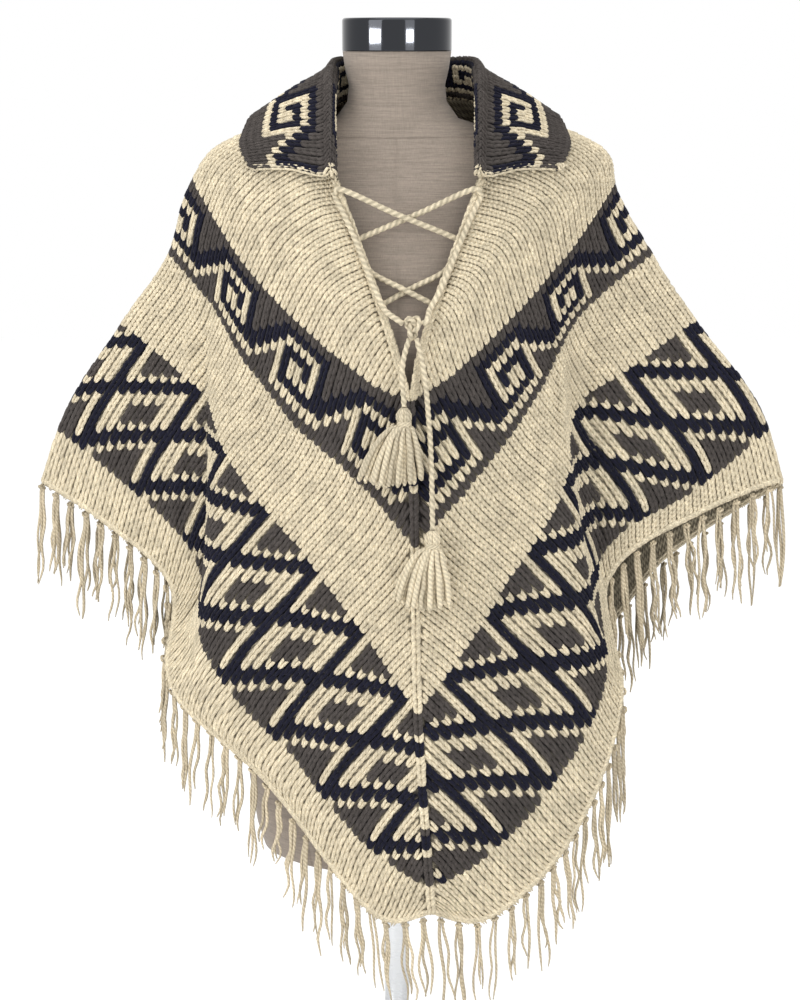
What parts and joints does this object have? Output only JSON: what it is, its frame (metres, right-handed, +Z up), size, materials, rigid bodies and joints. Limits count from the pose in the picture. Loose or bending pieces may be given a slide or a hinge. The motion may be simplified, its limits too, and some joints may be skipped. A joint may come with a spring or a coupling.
{
  "type": "knitted wool poncho on a limbless dress form with a plain stand",
  "caption": "Chunky knitted wool poncho with laced slit, folded collar, tassels and fringed hem, worn by a limbless linen dress form on a round-based stand.",
  "frame": {"origin": "middle of the base's underside, where the stand rests on the floor", "axes": "+Z up, -Y towards the front with the laced slit, +X towards the viewer's right"},
  "size_m": [0.7641, 0.339, 1.133],
  "materials": {
    "knit": "chunky stockinette wool in cream with charcoal and navy bands",
    "yarn": "plied cream wool yarn",
    "linen": "grey-beige slubbed linen",
    "polished_metal": "polished, nearly black",
    "satin_metal": "satin"
  },
  "bodies": {
    "root": {"left_half": "knit", "right_half": "knit", "collar": "knit", "fringe_left": "yarn", "fringe_right": "yarn", "lace_left": "yarn", "lace_right": "yarn", "lace_knot": "yarn", "short_end": "yarn", "long_end": "yarn", "short_tassel": "yarn", "long_tassel": "yarn", "torso": "linen", "neck_cap": "polished_metal", "post": "satin_metal", "base": "satin_metal"}
  },
  "joints": []
}
